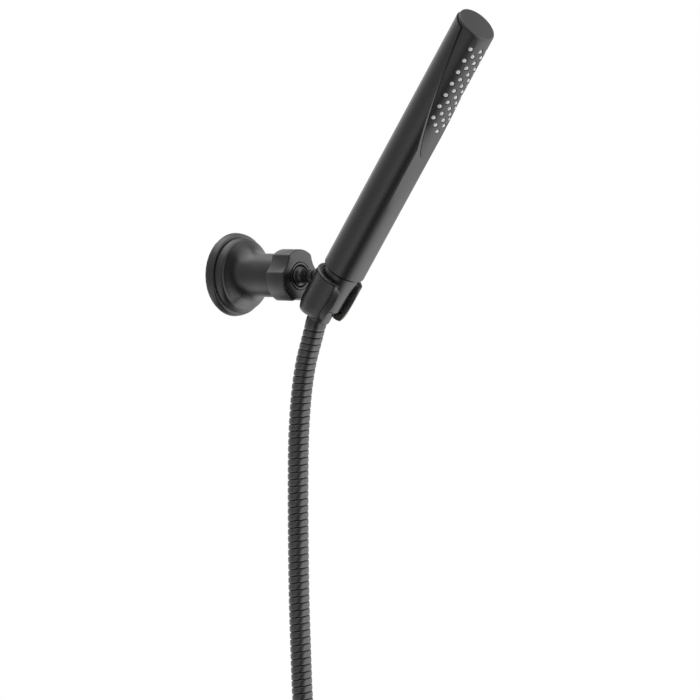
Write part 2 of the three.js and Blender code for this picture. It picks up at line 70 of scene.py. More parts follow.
def make_camera():
    data = bpy.data.cameras.new("camera")
    data.sensor_width = 36
    data.lens = LENS
    data.clip_end = 50
    camera = bpy.data.objects.new("camera", data)
    scene.collection.objects.link(camera)
    turn = Matrix((RIGHT, UP, TOWARDS)).transposed()
    place = TOWARDS * DISTANCE + RIGHT * AIM_RIGHT - UP * AIM_DOWN
    camera.matrix_world = Matrix.Translation(place) @ turn.to_4x4()
    scene.camera = camera


# ---- frames of the parts ----
# Out of the wall: local Y runs out along world -Y.
OUTWARD = Matrix.Rotation(math.pi, 4, "X")
# Along the handset: local Y up its axis, local Z to its front. It leans out of the wall and is turned a
# little in the cradle.
LEAN = math.radians(35.67)
TURN = math.radians(-4)
FOOT = Vector((0, -106.8, 5.6))
HANDSET = (
    Matrix.Translation(FOOT)
    @ Matrix.Rotation(math.pi / 2 + LEAN, 4, "X")
    @ Matrix.Rotation(TURN, 4, "Y")
)


# ---- mesh helpers; everything is drawn in millimetres and stored in metres ----
def finish_mesh(obj, sharp=35):
    """Joins the mesh up, turns its faces outwards and shades it smooth but for its sharp edges."""
    mesh = obj.data
    bm = bmesh.new()
    bm.from_mesh(mesh)
    bmesh.ops.remove_doubles(bm, verts=bm.verts, dist=1e-6)
    bmesh.ops.dissolve_degenerate(bm, edges=bm.edges, dist=1e-7)
    bmesh.ops.recalc_face_normals(bm, faces=bm.faces)
    bm.to_mesh(mesh)
    bm.free()
    mesh.shade_smooth()
    mesh.set_sharp_from_angle(angle=math.radians(sharp))
    return obj


def make(name, verts, faces, matrix=Matrix.Identity(4), sharp=35):
    """A piece drawn in local millimetres and placed by the matrix."""
    mesh = bpy.data.meshes.new(name)
    mesh.from_pydata([(matrix @ Vector(v)) * MM for v in verts], [], faces)
    obj = bpy.data.objects.new(name, mesh)
    scene.collection.objects.link(obj)
    return finish_mesh(obj, sharp)


def soft(points, steps=4):
    """A closed profile whose corners are rounded: each point is (radius, height[, corner radius])."""
    out = []
    n = len(points)
    for i, p in enumerate(points):
        here = Vector(p[:2])
        r = p[2] if len(p) > 2 else 0
        if not r:
            out.append(tuple(here))
            continue
        a = Vector(points[i - 1][:2]) - here
        b = Vector(points[(i + 1) % n][:2]) - here
        half = a.angle(b) / 2
        reach = min(r / math.tan(half), 0.49 * a.length, 0.49 * b.length)
        radius = reach * math.tan(half)
        a.normalize()
        b.normalize()
        middle = here + (a + b).normalized() * (radius / math.sin(half))
        start = here + a * reach - middle
        sweep = start.angle_signed(here + b * reach - middle)
        for k in range(steps + 1):
            t = -sweep * k / steps
            c, s = math.cos(t), math.sin(t)
            out.append((middle.x + start.x * c - start.y * s, middle.y + start.x * s + start.y * c))
    return out


def smoothed(points, steps=12):
    """Centripetal Catmull-Rom through the points."""
    ends = [points[0] * 2 - points[1]] + points + [points[-1] * 2 - points[-2]]
    out = []
    for p0, p1, p2, p3 in zip(ends, ends[1:], ends[2:], ends[3:]):
        t1 = (p1 - p0).length ** 0.5
        t2 = t1 + (p2 - p1).length ** 0.5
        t3 = t2 + (p3 - p2).length ** 0.5
        for k in range(steps):
            t = t1 + (t2 - t1) * k / steps
            a1 = p0.lerp(p1, t / t1)
            a2 = p1.lerp(p2, (t - t1) / (t2 - t1))
            a3 = p2.lerp(p3, (t - t2) / (t3 - t2))
            b1 = a1.lerp(a2, t / t2)
            b2 = a2.lerp(a3, (t - t1) / (t3 - t1))
            out.append(b1.lerp(b2, (t - t1) / (t2 - t1)))
    return out + [points[-1]]


def run(*points, steps=4):
    """A smooth run of profile points."""
    return [tuple(p) for p in smoothed([Vector(p) for p in points], steps)]


def lathe(name, profile, matrix, segments=96, sharp=35, closed=True):
    """Turned about local Y; the angle is measured from local Z, the front."""
    verts, rings = [], []
    for r, h in profile:
        if r < 1e-6:
            rings.append([len(verts)] * segments)
            verts.append((0, h, 0))
            continue
        rings.append(range(len(verts), len(verts) + segments))
        for k in range(segments):
            t = 2 * math.pi * k / segments
            verts.append((r * math.sin(t), h, r * math.cos(t)))
    faces = []
    last = len(rings) if closed else len(rings) - 1
    for i in range(last):
        a, b = rings[i], rings[(i + 1) % len(rings)]
        for k in range(segments):
            m = (k + 1) % segments
            face = [a[k], a[m], b[m], b[k]]
            face = [v for j, v in enumerate(face) if v != face[j - 1]]
            if len(face) > 2:
                faces.append(face)
    return make(name, verts, faces, matrix, sharp)


def prism(name, outline, stations, matrix, place):
    """An outline of 2-D points swept through the stations; place turns (u, v, station) into a local point."""
    n = len(outline)
    verts = [place(u, v, w) for w in stations for u, v in outline]
    last = (len(stations) - 1) * n
    faces = [list(range(n)), list(range(last, last + n))]
    for a in range(0, last, n):
        faces += [[a + i, a + (i + 1) % n, a + n + (i + 1) % n, a + n + i] for i in range(n)]
    return make(name, verts, faces, matrix)


def apply(obj):
    """The piece with its modifiers made permanent."""
    graph = bpy.context.evaluated_depsgraph_get()
    mesh = bpy.data.meshes.new_from_object(obj.evaluated_get(graph))
    old = obj.data
    obj.modifiers.clear()
    obj.data = mesh
    bpy.data.meshes.remove(old)
    return obj


def combine(obj, operation, *tools):
    """The piece cut by, kept within or joined to each tool; the tools are used up."""
    for tool in tools:
        m = obj.modifiers.new("cut", "BOOLEAN")
        m.operation = operation
        m.solver = "EXACT"
        m.object = tool
    apply(obj)
    for tool in tools:
        bpy.data.objects.remove(tool)
    return obj


def round_edges(obj, width, angle=30, segments=2):
    """A small bevel on every edge sharper than the angle."""
    m = obj.modifiers.new("round", "BEVEL")
    m.width = width * MM
    m.segments = segments
    m.limit_method = "ANGLE"
    m.angle_limit = math.radians(angle)
    m.use_clamp_overlap = True
    m.harden_normals = False
    apply(obj)
    obj.data.shade_smooth()
    obj.data.set_sharp_from_angle(angle=math.radians(40))
    w = obj.modifiers.new("even", "WEIGHTED_NORMAL")
    w.keep_sharp = True
    apply(obj)
    return obj


CORNER = 0.5  # radians between faces that makes an edge a corner


def round_chosen(obj, width, chosen, matrix, segments=4):
    """Rounds only the edges whose ends are both chosen in the local frame."""
    back = matrix.inverted()
    bm = bmesh.new()
    bm.from_mesh(obj.data)
    picked = {v for v in bm.verts if chosen(back @ (v.co / MM))}
    edges = [
        e for e in bm.edges
        if e.verts[0] in picked and e.verts[1] in picked and e.calc_face_angle(0) > CORNER
    ]
    bmesh.ops.bevel(bm, geom=edges, offset=width * MM, segments=segments, profile=0.5, affect="EDGES")
    bm.to_mesh(obj.data)
    bm.free()
    return finish_mesh(obj)


def soften(obj, grain, rounds):
    """Even, fine faces whose edges and corners are all a little rounded, as on a casting."""
    m = obj.modifiers.new("even", "REMESH")
    m.mode = "VOXEL"
    m.voxel_size = grain * MM
    m.use_smooth_shade = True
    m = obj.modifiers.new("soft", "SMOOTH")
    m.factor = 0.5
    m.iterations = rounds
    return apply(obj)


def merge(name, objects):
    """One object of several."""
    bm = bmesh.new()
    for o in objects:
        bm.from_mesh(o.data)
    mesh = bpy.data.meshes.new(name)
    bm.to_mesh(mesh)
    bm.free()
    for o in objects:
        bpy.data.objects.remove(o)
    obj = bpy.data.objects.new(name, mesh)
    scene.collection.objects.link(obj)
    return finish_mesh(obj)


def done(obj, body, slot, material, *nodes):
    """Gives the piece its finish and body, and hides the nodes that it replaces. The slot is not used."""
    obj.data.materials.clear()
    obj.data.materials.append(material)
    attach(obj, body)
    if nodes:
        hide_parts(*nodes)
    return obj


# ---- materials ----
def new_material(name):
    m = bpy.data.materials.new(name)
    m.use_nodes = True
    tree = m.node_tree
    return m, tree, tree.nodes["Principled BSDF"]


NOISE_LOW, NOISE_HIGH = 0.3, 0.7  # where nearly all of a noise texture's values lie
BROAD_SCALE = 22
BUMP_DEPTH = 0.0002


def noise(tree, scale, detail=3, stretch=(1, 1, 1)):
    where = tree.nodes.new("ShaderNodeTexCoord")
    mapping = tree.nodes.new("ShaderNodeMapping")
    mapping.inputs["Scale"].default_value = stretch
    tree.links.new(where.outputs["Object"], mapping.inputs["Vector"])
    n = tree.nodes.new("ShaderNodeTexNoise")
    n.inputs["Scale"].default_value = scale
    n.inputs["Detail"].default_value = detail
    tree.links.new(mapping.outputs["Vector"], n.inputs["Vector"])
    return n.outputs["Fac"]


def spread(tree, source, low, high):
    m = tree.nodes.new("ShaderNodeMapRange")
    m.inputs["From Min"].default_value = NOISE_LOW
    m.inputs["From Max"].default_value = NOISE_HIGH
    m.inputs["To Min"].default_value = low
    m.inputs["To Max"].default_value = high
    tree.links.new(source, m.inputs["Value"])
    return m.outputs["Result"]


def blend_colour(tree, source, low, high):
    ramp = tree.nodes.new("ShaderNodeValToRGB")
    ramp.color_ramp.elements[0].position = NOISE_LOW
    ramp.color_ramp.elements[0].color = (*low, 1)
    ramp.color_ramp.elements[1].position = NOISE_HIGH
    ramp.color_ramp.elements[1].color = (*high, 1)
    tree.links.new(source, ramp.inputs["Fac"])
    return ramp.outputs["Color"]


def grained(name, low, high, rough, grain, bump, metallic=0.0, stretch=(1, 1, 1), ior=1.5):
    """A finish whose colour, roughness and surface all vary: grain is the size of its texture in mm."""
    m, tree, shader = new_material(name)
    broad = noise(tree, BROAD_SCALE)
    fine = noise(tree, 1000 / grain, 2, stretch)
    tree.links.new(blend_colour(tree, broad, low, high), shader.inputs["Base Color"])
    tree.links.new(spread(tree, fine, *rough), shader.inputs["Roughness"])
    b = tree.nodes.new("ShaderNodeBump")
    b.inputs["Strength"].default_value = bump
    b.inputs["Distance"].default_value = BUMP_DEPTH
    tree.links.new(fine, b.inputs["Height"])
    tree.links.new(b.outputs["Normal"], shader.inputs["Normal"])
    shader.inputs["Metallic"].default_value = metallic
    shader.inputs["IOR"].default_value = ior
    return m


def grey(level):
    return (level, level, level)


# Each: darkest and lightest colour, roughness range, grain in mm, bump.
COAT = grained("satin_black_coat", grey(0.0085), grey(0.011), (0.24, 0.32), 0.5, 0.05)
# Rubbed finish: a brownish black for wear, made lighter than the coat so that it also paints light onto the
# cradle's shaded inner faces.
RUBBED_AND_LIT = grained("rubbed_and_lit_black_coat", (0.052, 0.048, 0.044), (0.064, 0.059, 0.054), (0.4, 0.5), 0.5, 0.05)
FACE = grained("black_moulding", grey(0.008), grey(0.011), (0.36, 0.46), 0.35, 0.12)
DARK = grained("black_liner", grey(0.006), grey(0.009), (0.5, 0.6), 0.4, 0.1)
SILICONE = grained("white_silicone", (0.5, 0.5, 0.49), (0.56, 0.56, 0.55), (0.45, 0.6), 0.3, 0.08)
RUBBER = grained("black_rubber", grey(0.008), grey(0.013), (0.7, 0.85), 0.5, 0.15)
NYLON = grained("nylon", (0.72, 0.71, 0.68), (0.8, 0.79, 0.76), (0.4, 0.5), 0.6, 0.06)
STEEL = grained(
    "brushed_steel", (0.5, 0.5, 0.49), (0.58, 0.58, 0.57), (0.25, 0.4), 0.4, 0.1,
    metallic=1.0, stretch=(1, 8, 1),
)
BRASS = grained(
    "machined_brass", (0.55, 0.38, 0.16), (0.62, 0.45, 0.2), (0.22, 0.36), 0.4, 0.08,
    metallic=1.0,
)
HOSE = grained("black_interlock", grey(0.012), grey(0.018), (0.28, 0.36), 0.6, 0.02, ior=1.6)


# ---- hose ----
HOSE_R = 7.25
PROUD = 0.1  # how far the strip's bands stand out of the hose's nominal radius
PITCH = 4.9
COIL_R = 80
COIL_Z = -446
COIL_START = 120  # degrees round the coil where the hose joins it, and where it leaves it
COIL_END = 900
COIL_FRONT = -68.4
COIL_DEPTH = 32.4
TAIL_Y = -100.8
DROP_END = -67.4
# The centreline from the handset down to the coil, as (y, z).
EXIT = (-80.62, -30.88)
DROP = [
    EXIT, (-79.2, -35), (-78.1, -38.2), (-75.8, -45), (-73.3, -52), (-71.0, -59), (-69.0, -67),
    (-67.3, -75.5),
    (-65.4, -89), (-63.9, -106), (-63.1, -123), (-62.8, -158), (-63.1, -195), (-63.8, -230), (-65.1, -262),
    (-66.4, -290), (DROP_END, COIL_Z + COIL_R * math.sqrt(3)),
]


def hose_route():
    """The hose's centreline: down, on an arc onto the coil, round it, and down again to the connector."""
    route = [Vector((0, y, z)) for y, z in DROP]
    for degrees in range(12, 60, 12):
        t = math.radians(degrees)
        x = COIL_R * (math.cos(t) - 1)
        z = COIL_Z + COIL_R * (math.sqrt(3) - math.sin(t))
        route.append(Vector((x, DROP_END - degrees / 60, z)))
    for degrees in range(COIL_START, COIL_END + 1, 12):
        t = math.radians(degrees)
        y = COIL_FRONT - COIL_DEPTH * (degrees - COIL_START) / (COIL_END - COIL_START)
        route.append(Vector((COIL_R * math.cos(t), y, COIL_Z + COIL_R * math.sin(t))))
    for down in (14, 28, 42, 56):
        route.append(Vector((-COIL_R, TAIL_Y, COIL_Z - down)))
    return route


def frames_along(points):
    """For each point: its distance along the line, and the forward and sideways directions there."""
    along, across, side = [0.0], [], Vector((1, 0, 0))
    for i, p in enumerate(points):
        forward = (points[min(i + 1, len(points) - 1)] - points[max(i - 1, 0)]).normalized()
        side = (side - forward * side.dot(forward)).normalized()
        across.append((forward, side.copy()))
        if i:
            along.append(along[-1] + (p - points[i - 1]).length)
    return along, across


# One pitch of the interlocked strip, as (share of the pitch, height): a slightly barrelled band and the
# narrow, deep groove beside it.
BAND = [
    (0.0, -0.95), (0.04, -0.8), (0.065, -0.22), (0.12, -0.05), (0.28, 0.03),
    (0.5, 0.05), (0.7, 0.01), (0.83, -0.1), (0.92, -0.32), (0.96, -0.85),
]


def make_hose():
    """One helical strip wound along the whole route; gives the piece and its path in metres."""
    points = smoothed(hose_route())
    along, across = frames_along(points)
    total = along[-1]
    sides = 28
    verts, faces = [], []
    turns = int(total / PITCH) + 1
    cursor = 0
    rows = len(BAND)
    count = turns * sides + 1
    for m in range(count):
        angle = 2 * math.pi * m / sides
        for part, lift in BAND:
            s = min(max(PITCH * (m / sides + part), 0), total - 0.01)
            while cursor > 0 and along[cursor] > s:
                cursor -= 1
            while along[cursor + 1] < s:
                cursor += 1
            f = (s - along[cursor]) / (along[cursor + 1] - along[cursor])
            centre = points[cursor].lerp(points[cursor + 1], f)
            forward = across[cursor][0].lerp(across[cursor + 1][0], f).normalized()
            side = across[cursor][1].lerp(across[cursor + 1][1], f)
            side = (side - forward * side.dot(forward)).normalized()
            up = forward.cross(side)
            outward = side * math.cos(angle) + up * math.sin(angle)
            verts.append(centre + outward * (HOSE_R + PROUD + lift))
    for m in range(count - 1):
        for r in range(rows):
            here, beside = m * rows + r, (m + 1) * rows + r
            if r < rows - 1:
                faces.append([here, beside, beside + 1, here + 1])
            elif m + 1 + sides < count:
                turn_on = (m + sides) * rows
                faces.append([here, beside, turn_on + rows, turn_on])
    hose = make("hose", verts, faces, sharp=60)
    hose.data.materials.append(HOSE)
    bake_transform(hose)
    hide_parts("hose_top", "hose_drop", "hose_coil", "hose_tail")
    return hose, [list(p * MM) for p in points]


# ---- fittings on the hose's free end ----
# The hexagon nut's frame: local Y up along the hose.
TAIL = Matrix.Translation(Vector((-COIL_R, TAIL_Y, COIL_Z - 57))) @ Matrix.Rotation(math.pi / 2, 4, "X")
HEXAGON_R = 13.1


def make_tail():
    """The sleeve crimped on the hose and the hexagon nut that turns on it."""
    ferrule = lathe("connector_sleeve", soft([
        (7.5, -2.5), (7.5, -0.2, 0.2), (8.0, 0, 0.3), (8.3, -1.6, 0.3), (8.1, -2.4, 0.2), (8.1, -12),
        (8.2, -22), (10, -22), (10, -24), (4, -24), (4, -8), (7.5, -8),
    ]), TAIL, 64)
    done(ferrule, "hose_hanging", "black_coat", COAT, "connector_ferrule")
    corners = [k * math.pi / 3 for k in range(6)]
    hexagon = [(HEXAGON_R * math.sin(a), HEXAGON_R * math.cos(a)) for a in corners]
    nut = prism("connector_hexagon", hexagon, (-31.9, -18.1), TAIL, lambda u, v, w: (u, w, v))
    dome = lathe("dome", soft([
        (0, -33), (11.6, -33), (13.4, -31.2), (13.4, -18.8), (11.6, -17), (0, -17),
    ]), TAIL, 72)
    combine(nut, "INTERSECT", dome)
    collar = lathe("collar", [(0, -19), (11.3, -19), (11.3, -13), (10.6, -12.1), (0, -12.1)], TAIL, 72)
    combine(nut, "UNION", collar)
    hollow = lathe("hollow", [
        (0, -40), (10.5, -40), (10.5, -21.7), (8.5, -21.7), (8.5, -5), (0, -5),
    ], TAIL, 72)
    combine(nut, "DIFFERENCE", hollow)
    round_edges(nut, 0.3, 25)
    done(nut, "connector", "black_coat", COAT, "connector_nut")
    return [ferrule, nut, frame["nodes"]["connector_washer"]]


def make_tie():
    """A soft strap about the turns, with rounded corners."""
    clear = 0.8
    y0, y1 = -108.2 - clear, -61.2 + clear
    z = COIL_Z + COIL_R
    half = HOSE_R + clear

    def loop(thickness, corner):
        """A rounded rectangle in the (y, z) plane, that far outside the strap's inner face."""
        low, high = z - half - thickness, z + half + thickness
        back, front = y0 - thickness, y1 + thickness
        corners = [(back, low), (front, low), (front, high), (back, high)]
        return soft([(*place, corner) for place in corners], 6)

    outline = loop(0, 6)
    outer = loop(1.3, 7.3)
    verts, faces = [], []
    across = [-7.6, -7.2, 7.2, 7.6]
    n = len(outline)
    for x in across:
        inset = 0.35 if abs(x) > 7.5 else 0  # the strap's long edges are bevelled
        for (iy, iz), (oy, oz) in zip(outline, outer):
            verts.append((x, iy, iz))
            d = Vector((oy - iy, oz - iz)) * (1 - inset)
            verts.append((x, iy + d.x, iz + d.y))
    step = 2 * n
    for i in range(n):
        j = (i + 1) % n
        for r in range(3):
            for side in (0, 1):
                a = r * step + side
                faces.append([a + 2 * i, a + 2 * j, a + step + 2 * j, a + step + 2 * i])
        faces.append([2 * i, 2 * j, 2 * j + 1, 2 * i + 1])
        e = 3 * step
        faces.append([e + 2 * i, e + 2 * j, e + 2 * j + 1, e + 2 * i + 1])
    strap = make("tie_strap", verts, faces)
    done(strap, "hose_hanging", "rubber", RUBBER, "coil_tie")
    return strap


make_camera()
hose, hose_path = make_hose()
tail_pieces = make_tail()
tie = make_tie()


# ---- wall bracket ----
def make_flange():
    """Flange, bell and neck in one casting, hollow behind."""
    bell = run((24.4, 13.4), (22.9, 14.7), (21, 16.3), (18.9, 18.4), (17.3, 20.8), (16.1, 23.6), (15.5, 26.6))
    profile = soft([
        (23.9, 1.3), (29.3, 1.3, 0.4), (29.9, 1.9, 0.6), *run((29.85, 2.6), (29.6, 4.2), (29.1, 6.2)),
        (28.5, 7.2, 0.5), (26.95, 7.2), (26.9, 7.6, 0.3), *run((26.7, 9.2), (26.3, 10.9), (25.7, 12.2)),
        (25, 13.1, 0.25), *bell,
        (15.5, 34), (15.5, 48.5, 0.4), (13.5, 48.5), (13.5, 60.9), (11.3, 60.9), (11.3, 50), (0, 50), (0, 40),
        (9, 40), (9, 7), (23.9, 7),
    ], 5)
    flange = lathe("bracket", profile, OUTWARD, 160, 30)
    done(flange, "bracket", "black_coat", COAT, "bracket_body")


LOBE_R = 18.9
SCALLOP_R = 21
SCALLOP_DEPTH = 16.3  # how near the axis a scallop comes
BLEND = 0.18  # how softly the scallops meet the lobes


def nut_radius(angle):
    """How far the lobed outline is from the axis, its corners a little rounded."""
    t = (math.degrees(angle) - 30) % 120
    t = min(t, 120 - t)
    away = SCALLOP_DEPTH + SCALLOP_R
    c = math.cos(math.radians(t))
    inside = SCALLOP_R * SCALLOP_R - away * away * (1 - c * c)
    scallop = away * c - math.sqrt(inside) if inside > 0 else 99
    return -BLEND * math.log(math.exp(-LOBE_R / BLEND) + math.exp(-min(scallop, 25) / BLEND))


def make_nut():
    """The three-lobed nut and the round lip in front of it."""
    n = 360
    # The outside is given as (distance out of the wall, inset from the lobed outline) and the bore as
    # (radius, distance out).
    levels = [
        (48.8, 1.1), (48.86, 0.75), (49.05, 0.4), (49.35, 0.13), (49.8, 0),
        (64.2, 0), (64.65, 0.13), (64.95, 0.4), (65.14, 0.75), (65.2, 1.1),
    ]
    bore = [(10.3, 65.2), (9.9, 64.9), (9.9, 62.9), (13.8, 62.9), (13.8, 49), (14.1, 48.8)]
    turns = [2 * math.pi * k / n for k in range(n)]
    verts, faces = [], []
    for out, inset in levels:
        for t in turns:
            r = nut_radius(t) - inset
            verts.append((r * math.cos(t), -out, r * math.sin(t)))
    for r, out in bore:
        verts += [(r * math.cos(t), -out, r * math.sin(t)) for t in turns]
    count = len(levels) + len(bore)
    for i in range(count):
        a, b = i * n, ((i + 1) % count) * n
        faces += [[a + k, a + (k + 1) % n, b + (k + 1) % n, b + k] for k in range(n)]
    nut = make("lobed_nut", verts, faces, sharp=28)
    done(nut, "clamp", "black_coat", COAT, "clamp_nut")
    seat = lathe("ball_collar", soft([
        (12.9, 61.4), (12.9, 62.6), (9.6, 62.6), (9.6, 65.45, 0.35), (8.35, 65.45, 0.45), (7.75, 64.6),
        (8.03, 63.8), (8.38, 62.6), (8.5, 61.4),
    ]), OUTWARD, 96)
    done(seat, "clamp", "black_coat", COAT, "front_ball_seat")


def arc_points(radius, height, degrees, way=1):
    """Profile points on a ball about a point on the axis; way -1 measures from its lower pole."""
    turns = [math.radians(a) for a in degrees]
    return [(radius * math.sin(t), height + way * radius * math.cos(t)) for t in turns]


def make_stem():
    """The ball, its neck and the spigot that the cradle is screwed to."""
    ball = arc_points(8.2, 61.2, range(4, 131, 3), -1)
    neck = [(5.75, 66.95), (5.3, 67.6), (5.0, 68.3), (4.78, 69.2), (4.65, 70.2), (4.6, 71.4), (4.6, 74.1)]
    spigot = [(2.6, 74.2), (2.6, 79.5), (1.7, 79.5), (1.7, 72), (0, 72)]
    stem = lathe("ball_and_neck", [(0, 53.0)] + ball + neck + spigot, OUTWARD, 96, 40, closed=False)
    done(stem, "stem", "black_coat", COAT, "ball_stem")


make_flange()
make_nut()
make_stem()


# ---- cradle ----
SLOT = 8.3  # half the front slot's width
CREASE = 13.2  # how far from the middle each arm's crease is
FORWARD = 11.2  # how far forward the crease is
CREASE_BEND = 0.003
CREASE_BEND_TOP = -18
FOOT_SLOPE = 0.23
FOOT_TOP = -28
GRAIN = 0.34  # size of the casting's fine faces


def arm_face(height, forward, across):
    """Each arm's front face runs straight from its curved inner edge out to the crease."""
    if forward > 5:
        crease = FORWARD - CREASE_BEND * max(CREASE_BEND_TOP - height, 0) ** 2
        forward += (crease - forward) * (abs(across) - SLOT) / (CREASE - SLOT)
    return (across, height, forward)


def slope_foot(obj):
    """The foot rises towards the front."""
    back = HANDSET.inverted()
    for v in obj.data.vertices:
        p = back @ (v.co / MM)
        share = min(max((FOOT_TOP - p.y) / 10.6, 0), 1)
        v.co = (HANDSET @ (p + Vector((0, FOOT_SLOPE * share * max(p.z, -9), 0)))) * MM
    return finish_mesh(obj)


def wear_and_light_inside(body):
    """Gives the cradle's inner faces and its slot's sides the rubbed finish: a brownish black that is partly
    wear and partly painted light, made lighter to lift these shaded recesses.
    """
    body.data.materials.append(RUBBED_AND_LIT)
    back = HANDSET.inverted()
    turned = back.to_3x3()
    for face in body.data.polygons:
        middle = back @ (face.center / MM)
        normal = turned @ face.normal
        inward = normal.dot(middle) < -6
        in_slot = abs(middle.x) < 9 and abs(normal.x) > 0.8
        # Inner faces and slot sides get the lighter rubbed finish, which paints light into these shaded
        # recesses.
        if middle.z > 4 and (inward or in_slot):
            face.material_index = 1


def make_cradle():
    """Round outside, conical inside, with an open front between two arms, and a liner."""
    foot = run((12.6, -40.1), (14.4, -39.5), (15.7, -38.0), (16.6, -35.7), (17.3, -31))
    body = lathe("cradle_body", foot + [
        (17.3, -24), (17.3, -18), (17.3, -7.2), (16.6, -6.5), (15.4, -6.3), (14.3, -6.4),
        (0, -6.4), (0, -40.1),
    ], HANDSET, 160)
    slope_foot(body)
    edge = run(
        (-45, 9.6), (-36.8, 12.1), (-33, 12.9), (-28.7, 13.7), (-25, 14.2), (-21, 14.6),
        (-16, 14.6), (-12, 14.2), (-10, 13.5), (-8.6, 12.4), (-7.4, 10.8), (-6.2, 8.4),
    )
    side = edge + [(0, 6), (0, -30), (-45, -30)]
    stations = (-30, -18, -CREASE, -SLOT, 0, SLOT, CREASE, 18, 30)
    combine(body, "INTERSECT", prism("tips", side, stations, HANDSET, arm_face))
    flare = [
        (SLOT, -48), (SLOT, -14), (8.5, -12.2), (9.1, -10.6),
        (10.1, -9.1), (11.4, -7.8), (13.2, -6.4), (13.2, 5),
    ]
    gap = flare + [(-x, y) for x, y in reversed(flare)]
    boss = lathe("boss", [
        (0, 74.5), (4.3, 74.5), (4.6, 74.8), (4.6, 79), (5.2, 80.5), (6.2, 82), (6.2, 88), (0, 88),
    ], OUTWARD, 64)
    combine(body, "UNION", boss)
    core = lathe("core", [
        (0, -48), (11.2, -48), (9.9, -38.6), (9.6, -36), (13.15, -31), (14.15, -7.4), (14.3, 0), (0, 0),
    ], HANDSET, 160)
    combine(body, "DIFFERENCE", prism("slot", gap, (0, 30), HANDSET, lambda u, v, w: (u, v, w)), core)
    hole = lathe("hole", [(0, 73), (2.9, 73), (2.9, 79.9), (3.7, 79.9), (3.7, 92), (0, 92)], OUTWARD, 48)
    combine(body, "DIFFERENCE", hole)
    soften(body, GRAIN, 3)
    ring = lathe("groove", [(16.75, -8.05), (18, -8.05), (18, -7.55), (16.75, -7.55)], HANDSET, 160)
    combine(body, "DIFFERENCE", ring)
    done(finish_mesh(body, 45), "holder", "black_coat", COAT, "cradle")
    wear_and_light_inside(body)
    liner = lathe("liner_sleeve", soft([
        (11.95, -30.9), (12.85, -30.9), (13.85, -7.4, 0.3), (12.97, -7.4, 0.3),
    ]), HANDSET, 128)
    wide = [(-8.9, 0), (8.9, 0), (8.9, 30), (-8.9, 30)]
    combine(liner, "DIFFERENCE", prism("liner_slot", wide, (-46, 5), HANDSET, lambda u, v, w: (u, w, v)))
    finish_mesh(liner)
    done(liner, "holder", "black_plastic", RUBBED_AND_LIT, "cradle_liner")


make_cradle()


# ---- handset ----
TUBE_R = 15.2
TUBE_TOP = 205.25 - 2.4  # where the slanted end of the tube crosses its axis
SLOPE = 0.2
CAP_TOP = 205.75
CAP_SLOPE = 0.235
SEAM_FOOT = 93.6
SEAM_SLOPE = 0.1306
NOZZLE_TOP = 192.3
NOZZLE_STEP = 9.33
NOZZLE_TURN = math.radians(16.75)


def ahead_of_seam(offset):
    """Everything in front of the oblique plane that parts the tube from the spray face."""
    outline = [(h, TUBE_R - SEAM_SLOPE * (h - SEAM_FOOT) + offset) for h in (60, 265)] + [(265, 60), (60, 60)]
    return prism("seam", outline, (-30, 30), HANDSET, lambda h, f, w: (w, h, f))


def above_slant(height, slope=SLOPE):
    """Everything above a plane that falls towards the front."""
    outline = [(height + slope * 40, -40), (height - slope * 40, 40), (height + 80, 40), (height + 80, -40)]
    return prism("slant", outline, (-30, 30), HANDSET, lambda h, f, w: (w, h, f))


def nozzle_spots():
    """Five columns of nozzles, every other one set half a step lower, as (angle round, height)."""
    spots = []
    for column in range(-2, 3):
        rows = 8 if column == 0 else 7
        for row in range(rows):
            height = NOZZLE_TOP - NOZZLE_STEP * (row + (0.5 if column % 2 else 0))
            spots.append((NOZZLE_TURN * column, height))
    return spots


def at_spot(turn, height):
    """Local Y runs straight out through the spray face."""
    return (
        HANDSET
        @ Matrix.Translation((0, height, 0))
        @ Matrix.Rotation(turn, 4, "Y")
        @ Matrix.Rotation(math.pi / 2, 4, "X")
    )


def make_shell():
    """The tube with its oblique cut-away."""
    tube = lathe("handle_tube", soft([
        (13, -0.3), (14.6, -0.6, 0.2), (TUBE_R, -0.1, 0.6), (TUBE_R, 60),
        (TUBE_R, 120), (TUBE_R, 160), (TUBE_R, 215), (13, 215),
    ]), HANDSET, 192)
    combine(tube, "DIFFERENCE", ahead_of_seam(0), above_slant(TUBE_TOP))
    finish_mesh(tube)
    round_edges(tube, 0.5, 32, 3)
    done(tube, "handset", "black_coat", COAT, "handle_shell")


def make_face():
    """The spray face, with a hole for each nozzle, and the end cap, in one piece."""
    shell = lathe("shell", [
        (13.1, 95), (14.1, 95), (14.1, 130), (14.1, 165), (14.1, 220), (13.1, 220),
    ], HANDSET, 192)
    combine(shell, "INTERSECT", ahead_of_seam(0.3))
    pin = [(0, 8), (1.82, 8), (1.82, 13.85), (2.05, 14.12), (2.05, 20), (0, 20)]
    pins = [lathe("pin", pin, at_spot(t, h), 24) for t, h in nozzle_spots()]
    combine(shell, "DIFFERENCE", merge("pins", pins))
    finish_mesh(shell)
    round_edges(shell, 0.3, 32, 2)
    combine(shell, "DIFFERENCE", above_slant(TUBE_TOP + 0.28))
    finish_mesh(shell)
    cap = lathe("cap", [(0, 190), (14.1, 190), (14.1, 220), (0, 220)], HANDSET, 192)
    combine(cap, "INTERSECT", above_slant(TUBE_TOP + 0.3))
    combine(cap, "DIFFERENCE", above_slant(CAP_TOP, CAP_SLOPE))
    finish_mesh(cap)
    round_chosen(cap, 1.1, lambda p: abs(p.y + CAP_SLOPE * p.z - CAP_TOP) < 0.05, HANDSET)
    done(merge("spray_plate", [shell, cap]), "handset", "black_plastic", FACE, "spray_face")


